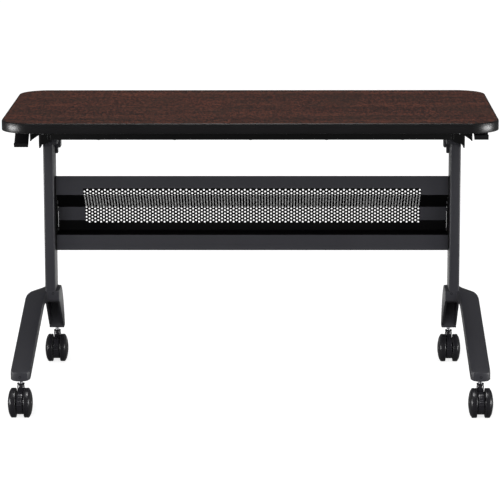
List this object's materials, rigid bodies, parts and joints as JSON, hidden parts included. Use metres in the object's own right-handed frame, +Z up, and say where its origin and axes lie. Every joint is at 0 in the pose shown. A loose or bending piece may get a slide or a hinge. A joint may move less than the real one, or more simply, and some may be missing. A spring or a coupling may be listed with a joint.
{
  "type": "flip top training table",
  "caption": "Rectangular table whose laminated top flips upright on a hinge over two columns with arched feet, braked twin-wheel casters and a cable trough.",
  "frame": {"origin": "on the floor, under the middle of the table", "axes": "+X along the table, +Y to the back, +Z up"},
  "size_m": [1.219, 0.6762, 0.736],
  "materials": {
    "laminate": "satin mahogany woodgrain laminate",
    "board": "raw particle board",
    "backing": "plain dark backing sheet",
    "edge_band": "satin moulded edge",
    "powder_coat": "fine textured charcoal powder coat",
    "black_steel": "satin black paint",
    "zinc": "zinc plate",
    "paddle": "moulded black",
    "wheel": "moulded black nylon",
    "hood": "moulded black"
  },
  "bodies": {
    "base": {"column_left": "powder_coat", "hinge_head_left": "powder_coat", "foot_left": "powder_coat", "trough_end_plate_left": "powder_coat", "panel_screw_1_left": "zinc", "panel_screw_2_left": "zinc", "panel_screw_3_left": "zinc", "column_right": "powder_coat", "hinge_head_right": "powder_coat", "foot_right": "powder_coat", "trough_end_plate_right": "powder_coat", "panel_screw_1_right": "zinc", "panel_screw_2_right": "zinc", "panel_screw_3_right": "zinc", "trough_panel": "powder_coat", "caster_stem_front_left": "zinc", "caster_stem_rear_left": "zinc", "caster_stem_front_right": "zinc", "caster_stem_rear_right": "zinc"},
    "top": {"core_board": "board", "top_laminate": "laminate", "backing_sheet": "backing", "edge_band": "edge_band", "cross_rail": "black_steel", "torsion_tube": "black_steel", "support_arm_left": "black_steel", "flip_bracket_left": "black_steel", "release_bracket_left": "black_steel", "pivot_bolt_left": "zinc", "support_arm_right": "black_steel", "flip_bracket_right": "black_steel", "release_bracket_right": "black_steel", "pivot_bolt_right": "zinc"},
    "paddle_left": {"release_paddle_left": "paddle", "paddle_shaft_left": "zinc"},
    "latch_left": {"latch_bolt_left": "zinc"},
    "paddle_right": {"release_paddle_right": "paddle", "paddle_shaft_right": "zinc"},
    "latch_right": {"latch_bolt_right": "zinc"},
    "caster_front_left": {"caster_hood_front_left": "hood"},
    "pedal_front_left": {"brake_pedal_front_left": "hood"},
    "wheel_a_front_left": {"caster_wheel_a_front_left": "wheel"},
    "wheel_b_front_left": {"caster_wheel_b_front_left": "wheel"},
    "caster_rear_left": {"caster_hood_rear_left": "hood"},
    "pedal_rear_left": {"brake_pedal_rear_left": "hood"},
    "wheel_a_rear_left": {"caster_wheel_a_rear_left": "wheel"},
    "wheel_b_rear_left": {"caster_wheel_b_rear_left": "wheel"},
    "caster_front_right": {"caster_hood_front_right": "hood"},
    "pedal_front_right": {"brake_pedal_front_right": "hood"},
    "wheel_a_front_right": {"caster_wheel_a_front_right": "wheel"},
    "wheel_b_front_right": {"caster_wheel_b_front_right": "wheel"},
    "caster_rear_right": {"caster_hood_rear_right": "hood"},
    "pedal_rear_right": {"brake_pedal_rear_right": "hood"},
    "wheel_a_rear_right": {"caster_wheel_a_rear_right": "wheel"},
    "wheel_b_rear_right": {"caster_wheel_b_rear_right": "wheel"}
  },
  "joints": [
    {"name": "top_flip", "type": "hinge", "parent": "base", "child": "top", "pos_m": [0, 0.209, 0.645], "axis": [-1, 0, 0], "range_deg": [0, 90]},
    {"name": "paddle_squeeze_left", "type": "hinge", "parent": "top", "child": "paddle_left", "pos_m": [0, 0.01, 0.69], "axis": [-1, 0, 0], "range_deg": [0, 25], "stiffness_Nm_per_rad": 0.3, "springref_deg": -17.19},
    {"name": "latch_draw_left", "type": "slide", "parent": "top", "child": "latch_left", "axis": [0, -1, 0], "range_m": [0, 0.0068]},
    {"name": "paddle_squeeze_right", "type": "hinge", "parent": "top", "child": "paddle_right", "pos_m": [0, 0.01, 0.69], "axis": [-1, 0, 0], "range_deg": [0, 25], "stiffness_Nm_per_rad": 0.3, "springref_deg": -17.19},
    {"name": "latch_draw_right", "type": "slide", "parent": "top", "child": "latch_right", "axis": [0, -1, 0], "range_m": [0, 0.0068]},
    {"name": "swivel_front_left", "type": "hinge", "parent": "base", "child": "caster_front_left", "pos_m": [-0.57, -0.278, 0.082], "axis": [0, 0, 1], "continuous": true},
    {"name": "brake_front_left", "type": "hinge", "parent": "caster_front_left", "child": "pedal_front_left", "pos_m": [-0.57, -0.301, 0.0375], "axis": [1, 0, 0], "range_deg": [0, 12]},
    {"name": "roll_a_front_left", "type": "hinge", "parent": "caster_front_left", "child": "wheel_a_front_left", "pos_m": [-0.57, -0.301, 0.0375], "axis": [1, 0, 0], "continuous": true},
    {"name": "roll_b_front_left", "type": "hinge", "parent": "caster_front_left", "child": "wheel_b_front_left", "pos_m": [-0.57, -0.301, 0.0375], "axis": [1, 0, 0], "continuous": true},
    {"name": "swivel_rear_left", "type": "hinge", "parent": "base", "child": "caster_rear_left", "pos_m": [-0.528, 0.324, 0.082], "axis": [0, 0, 1], "continuous": true},
    {"name": "brake_rear_left", "type": "hinge", "parent": "caster_rear_left", "child": "pedal_rear_left", "pos_m": [-0.528, 0.301, 0.0375], "axis": [1, 0, 0], "range_deg": [0, 12]},
    {"name": "roll_a_rear_left", "type": "hinge", "parent": "caster_rear_left", "child": "wheel_a_rear_left", "pos_m": [-0.528, 0.301, 0.0375], "axis": [1, 0, 0], "continuous": true},
    {"name": "roll_b_rear_left", "type": "hinge", "parent": "caster_rear_left", "child": "wheel_b_rear_left", "pos_m": [-0.528, 0.301, 0.0375], "axis": [1, 0, 0], "continuous": true},
    {"name": "swivel_front_right", "type": "hinge", "parent": "base", "child": "caster_front_right", "pos_m": [0.57, -0.278, 0.082], "axis": [0, 0, 1], "continuous": true},
    {"name": "brake_front_right", "type": "hinge", "parent": "caster_front_right", "child": "pedal_front_right", "pos_m": [0.57, -0.301, 0.0375], "axis": [1, 0, 0], "range_deg": [0, 12]},
    {"name": "roll_a_front_right", "type": "hinge", "parent": "caster_front_right", "child": "wheel_a_front_right", "pos_m": [0.57, -0.301, 0.0375], "axis": [1, 0, 0], "continuous": true},
    {"name": "roll_b_front_right", "type": "hinge", "parent": "caster_front_right", "child": "wheel_b_front_right", "pos_m": [0.57, -0.301, 0.0375], "axis": [1, 0, 0], "continuous": true},
    {"name": "swivel_rear_right", "type": "hinge", "parent": "base", "child": "caster_rear_right", "pos_m": [0.528, 0.324, 0.082], "axis": [0, 0, 1], "continuous": true},
    {"name": "brake_rear_right", "type": "hinge", "parent": "caster_rear_right", "child": "pedal_rear_right", "pos_m": [0.528, 0.301, 0.0375], "axis": [1, 0, 0], "range_deg": [0, 12]},
    {"name": "roll_a_rear_right", "type": "hinge", "parent": "caster_rear_right", "child": "wheel_a_rear_right", "pos_m": [0.528, 0.301, 0.0375], "axis": [1, 0, 0], "continuous": true},
    {"name": "roll_b_rear_right", "type": "hinge", "parent": "caster_rear_right", "child": "wheel_b_rear_right", "pos_m": [0.528, 0.301, 0.0375], "axis": [1, 0, 0], "continuous": true}
  ],
  "couplings": [
    {"joint": "paddle_squeeze_left", "follows": "latch_draw_left", "rad_per_m": 56.5},
    {"joint": "paddle_squeeze_right", "follows": "latch_draw_right", "rad_per_m": 56.5}
  ]
}
